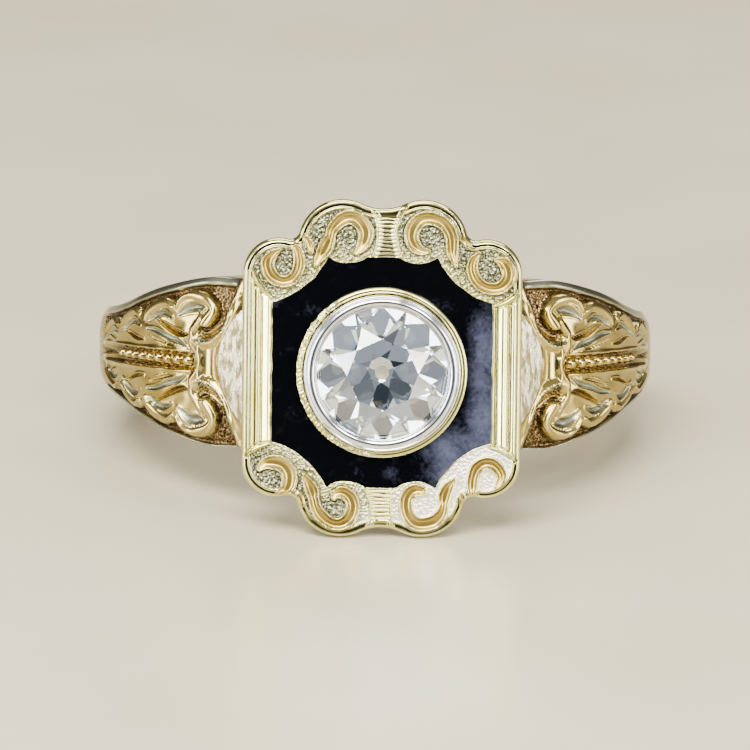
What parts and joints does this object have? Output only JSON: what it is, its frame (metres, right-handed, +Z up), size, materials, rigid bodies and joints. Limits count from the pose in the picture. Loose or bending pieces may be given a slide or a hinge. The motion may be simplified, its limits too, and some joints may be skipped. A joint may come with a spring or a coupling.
{
  "type": "enamel ring",
  "caption": "Yellow gold ring with a scalloped black enamel head, scrolled frame, bezel set old cut diamond and leaf carved shoulders, lying on its side.",
  "frame": {"origin": "on the surface that the ring lies on, under the middle of its box", "axes": "the head faces -Y and leans back, +X is to the right seen from the front, +Z is up from the surface"},
  "size_m": [0.022, 0.023, 0.0126],
  "materials": {
    "yellow_gold": "polished, with stippled grounds",
    "black_enamel": "gloss",
    "white_gold": "polished",
    "diamond": "faceted and polished"
  },
  "bodies": {
    "root": {"gold_ring": "yellow_gold", "enamel_panel": "black_enamel", "bezel": "white_gold", "diamond": "diamond"}
  },
  "joints": []
}
